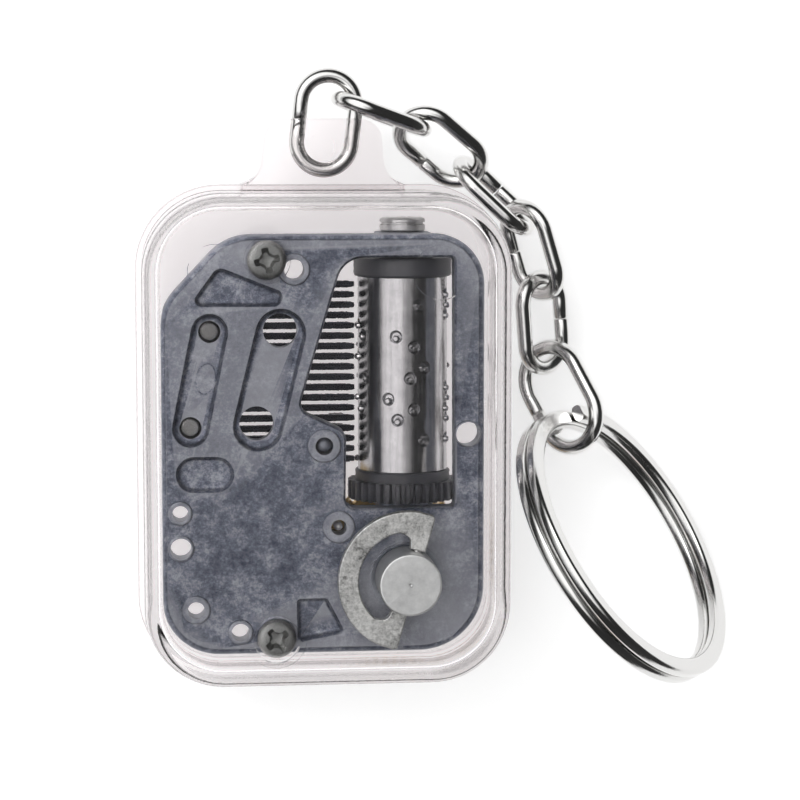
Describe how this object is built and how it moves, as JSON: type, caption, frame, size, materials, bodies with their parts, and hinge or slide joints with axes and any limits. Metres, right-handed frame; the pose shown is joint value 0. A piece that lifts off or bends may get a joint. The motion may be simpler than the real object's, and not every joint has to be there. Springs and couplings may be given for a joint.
{
  "type": "cylinder music box",
  "caption": "Small wind-up cylinder music movement in a clear case with a folding key, hung by a chain from a split ring.",
  "frame": {"origin": "centre of the back cover's outer face", "axes": "+X to the right seen from the front, +Y to the hanging tab, +Z out of the front"},
  "size_m": [0.0583, 0.0594, 0.028],
  "materials": {
    "clear_plastic": "clear, polished",
    "cast_zinc": "as cast, fine matt grain",
    "nickel_plate": "polished nickel plate",
    "polished_steel": "polished or finely brushed",
    "comb_steel": "hardened, ground",
    "brass": "turned",
    "dark_plastic": "moulded, dark",
    "lead": "dull",
    "spring_steel": "blued strip"
  },
  "bodies": {
    "case": {"front_shell": "clear_plastic", "back_shell": "clear_plastic", "case_screw_1": "nickel_plate", "case_screw_2": "nickel_plate", "bedplate": "cast_zinc", "comb": "comb_steel", "comb_screw_1": "nickel_plate", "comb_screw_2": "nickel_plate", "comb_weight_1": "lead", "comb_weight_2": "lead", "comb_weight_3": "lead", "comb_weight_4": "lead", "comb_weight_5": "lead", "drum_bush": "polished_steel", "click_spring": "spring_steel", "governor_bracket": "cast_zinc", "bracket_screw_1": "nickel_plate", "bracket_screw_2": "nickel_plate", "governor_cock": "brass", "cock_screw": "nickel_plate"},
    "drum": {"drum_sleeve": "polished_steel", "drum_cap": "dark_plastic", "drum_gear": "dark_plastic", "drum_arbor": "polished_steel"},
    "barrel": {"barrel_wheel": "brass", "barrel_cup": "polished_steel", "barrel_lid": "polished_steel", "mainspring": "spring_steel"},
    "governor": {"governor_arbor": "polished_steel", "worm_wheel": "brass"},
    "fly_shaft": {"worm": "polished_steel", "fly": "brass"},
    "stem": {"winding_stem": "polished_steel", "ratchet_wheel": "brass"},
    "key": {"folding_key": "polished_steel"},
    "link_1": {"link_1": "nickel_plate"},
    "link_2": {"link_2": "nickel_plate"},
    "link_3": {"link_3": "nickel_plate"},
    "link_4": {"link_4": "nickel_plate"},
    "link_5": {"link_5": "nickel_plate"},
    "link_6": {"link_6": "nickel_plate"},
    "link_7": {"link_7": "nickel_plate"},
    "split_ring": {"split_ring": "nickel_plate"}
  },
  "joints": [
    {"name": "barrel_spin", "type": "hinge", "parent": "case", "child": "barrel", "pos_m": [0.0074, -0.0132, 0.0053], "axis": [0, 0, 1], "continuous": true},
    {"name": "drum_spin", "type": "hinge", "parent": "case", "child": "drum", "pos_m": [0.0077, 0.0059, 0.0103], "axis": [0, 1, 0], "continuous": true},
    {"name": "governor_spin", "type": "hinge", "parent": "case", "child": "governor", "pos_m": [0.00101, -0.00836, 0.0081], "axis": [0, 0, 1], "continuous": true},
    {"name": "worm_spin", "type": "hinge", "parent": "case", "child": "fly_shaft", "pos_m": [0, -0.01131, 0.0085], "axis": [1, 0, 0], "continuous": true},
    {"name": "key_turn", "type": "hinge", "parent": "case", "child": "stem", "pos_m": [0.0074, -0.0132, 0.016], "axis": [0, 0, 1], "continuous": true},
    {"name": "key_fold", "type": "hinge", "parent": "stem", "child": "key", "pos_m": [0.0074, -0.0132, 0.01895], "axis": [0.2807, 0.9598, 0], "range_deg": [0, 180]},
    {"name": "link_1_swing", "type": "hinge", "parent": "case", "child": "link_1", "pos_m": [0, 0.0277, 0.009], "axis": [0, 0, 1], "range_deg": [0, 55]},
    {"name": "link_2_swing", "type": "hinge", "parent": "link_1", "child": "link_2", "pos_m": [0.00224, 0.03213, 0.00941], "axis": [-0.9929, 0.1191, 0], "range_deg": [-4, 4]},
    {"name": "link_3_swing", "type": "hinge", "parent": "link_2", "child": "link_3", "pos_m": [0.00949, 0.02957, 0.00757], "axis": [0.2195, -0.0775, 0.9725], "range_deg": [0, 55]},
    {"name": "link_4_swing", "type": "hinge", "parent": "link_3", "child": "link_4", "pos_m": [0.01423, 0.02572, 0.00608], "axis": [0.6182, 0.5401, 0.571], "range_deg": [0, 35]},
    {"name": "link_5_swing", "type": "hinge", "parent": "link_4", "child": "link_5", "pos_m": [0.02026, 0.02, 0.00663], "axis": [-0.2804, -0.2054, 0.9376], "range_deg": [0, 60]},
    {"name": "link_6_swing", "type": "hinge", "parent": "link_5", "child": "link_6", "pos_m": [0.02184, 0.0149, 0.00614], "axis": [0.5566, 0.0931, 0.8256], "range_deg": [0, 22]},
    {"name": "link_7_swing", "type": "hinge", "parent": "link_6", "child": "link_7", "pos_m": [0.02267, 0.00555, 0.00535], "axis": [-0.791, -0.1209, 0.5997], "range_deg": [0, 60]},
    {"name": "ring_swing", "type": "hinge", "parent": "link_7", "child": "split_ring", "pos_m": [0.02495, 0.00068, 0.0079], "axis": [0.5515, 0.5748, 0.6046], "range_deg": [0, 30]}
  ],
  "couplings": [
    {"joint": "drum_spin", "follows": "barrel_spin", "ratio": 1.4118},
    {"joint": "governor_spin", "follows": "barrel_spin", "ratio": -8},
    {"joint": "worm_spin", "follows": "barrel_spin", "ratio": 240}
  ]
}
